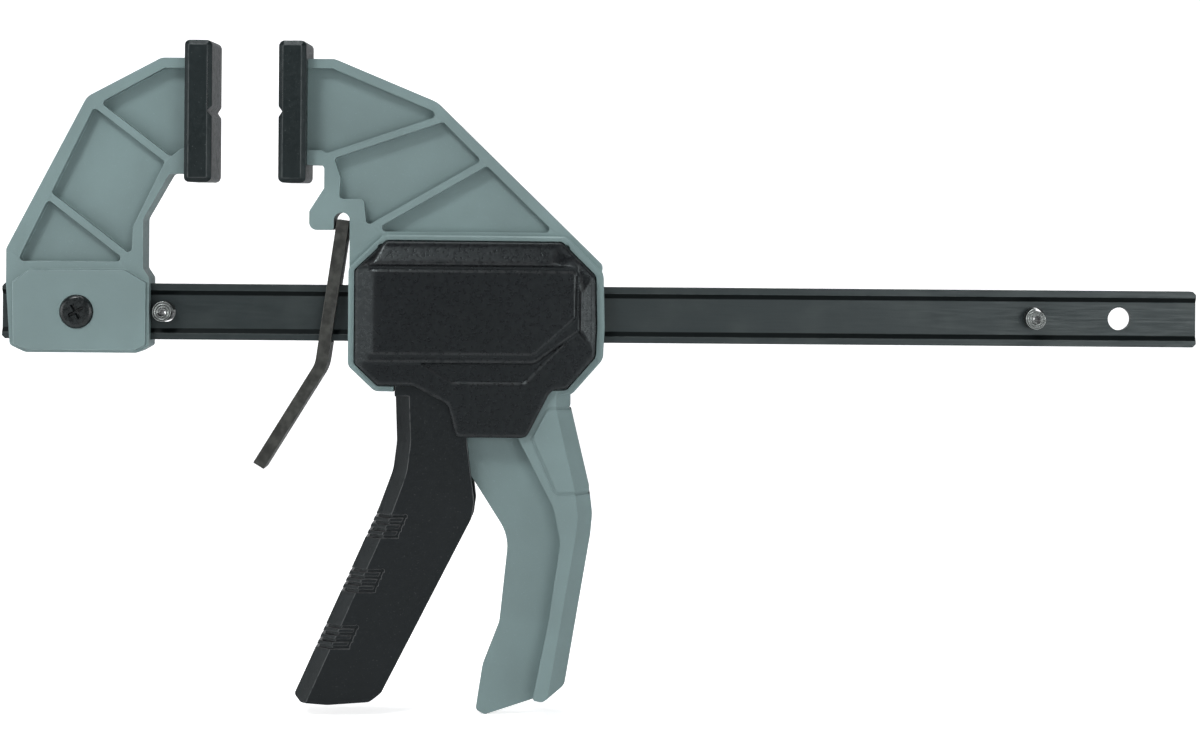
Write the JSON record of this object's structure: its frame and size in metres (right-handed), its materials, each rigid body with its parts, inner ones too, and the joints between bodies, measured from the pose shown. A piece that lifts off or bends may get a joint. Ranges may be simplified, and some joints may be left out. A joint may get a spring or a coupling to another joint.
{
  "type": "quick release bar clamp",
  "caption": "One-handed quick release bar clamp: fixed jaw on an I-section steel bar, sliding jaw with squeeze trigger, pistol handle, side covers and release lever.",
  "frame": {"origin": "middle of the bar's section, in the plane of the fixed pad's clamping face", "axes": "+X along the bar from the fixed jaw to the tail, +Z from the bar to the pads, Y across the thickness, front at -Y"},
  "size_m": [0.375, 0.0274, 0.2104],
  "materials": {
    "grey_moulding": "fine textured glass-filled nylon",
    "black_cover": "textured black plastic",
    "black_pad": "textured soft plastic",
    "bar_steel": "black oxide steel",
    "lever_steel": "dark browned steel",
    "pin_steel": "bright spring steel",
    "spring_steel": "drawn wire",
    "plate_steel": "hardened steel",
    "screw_black": "black phosphated steel"
  },
  "bodies": {
    "bar_body": {"bar": "bar_steel", "fixed_jaw": "grey_moulding", "fixed_jaw_pad": "black_pad", "fixed_jaw_screw": "screw_black", "fixed_jaw_nut": "screw_black", "jaw_roll_pin": "pin_steel", "stop_roll_pin": "pin_steel"},
    "moving_body": {"moving_jaw": "grey_moulding", "moving_jaw_pad": "black_pad", "front_cover": "black_cover", "rear_cover": "black_cover", "cover_screws": "screw_black", "trigger_pin": "pin_steel", "drive_spring": "spring_steel", "brake_spring": "spring_steel"},
    "trigger_body": {"trigger": "black_cover"},
    "drive_body": {"drive_plate_1": "plate_steel", "drive_plate_2": "plate_steel"},
    "lever_body": {"release_lever": "lever_steel"}
  },
  "joints": [
    {"name": "jaw_slide", "type": "slide", "parent": "bar_body", "child": "moving_body", "axis": [1, 0, 0], "range_m": [-0.0207, 0.1317]},
    {"name": "trigger_squeeze", "type": "hinge", "parent": "moving_body", "child": "trigger_body", "pos_m": [0.0667, 0, 0.01725], "axis": [0, -1, 0], "range_deg": [0, 14], "stiffness_Nm_per_rad": 0.8, "springref_deg": -14.32},
    {"name": "drive_plate_slide", "type": "slide", "parent": "moving_body", "child": "drive_body", "axis": [1, 0, 0], "range_m": [0, 0.0042], "deforming": ["drive_spring"]},
    {"name": "release_lever_tilt", "type": "hinge", "parent": "moving_body", "child": "lever_body", "pos_m": [0.0402, 0, 0.02675], "axis": [0, -1, 0], "range_deg": [0, 6], "stiffness_Nm_per_rad": 0.4, "springref_deg": -11.46, "deforming": ["brake_spring"]}
  ],
  "couplings": [
    {"joint": "drive_plate_slide", "follows": "trigger_squeeze", "m_per_rad": 0.017}
  ]
}
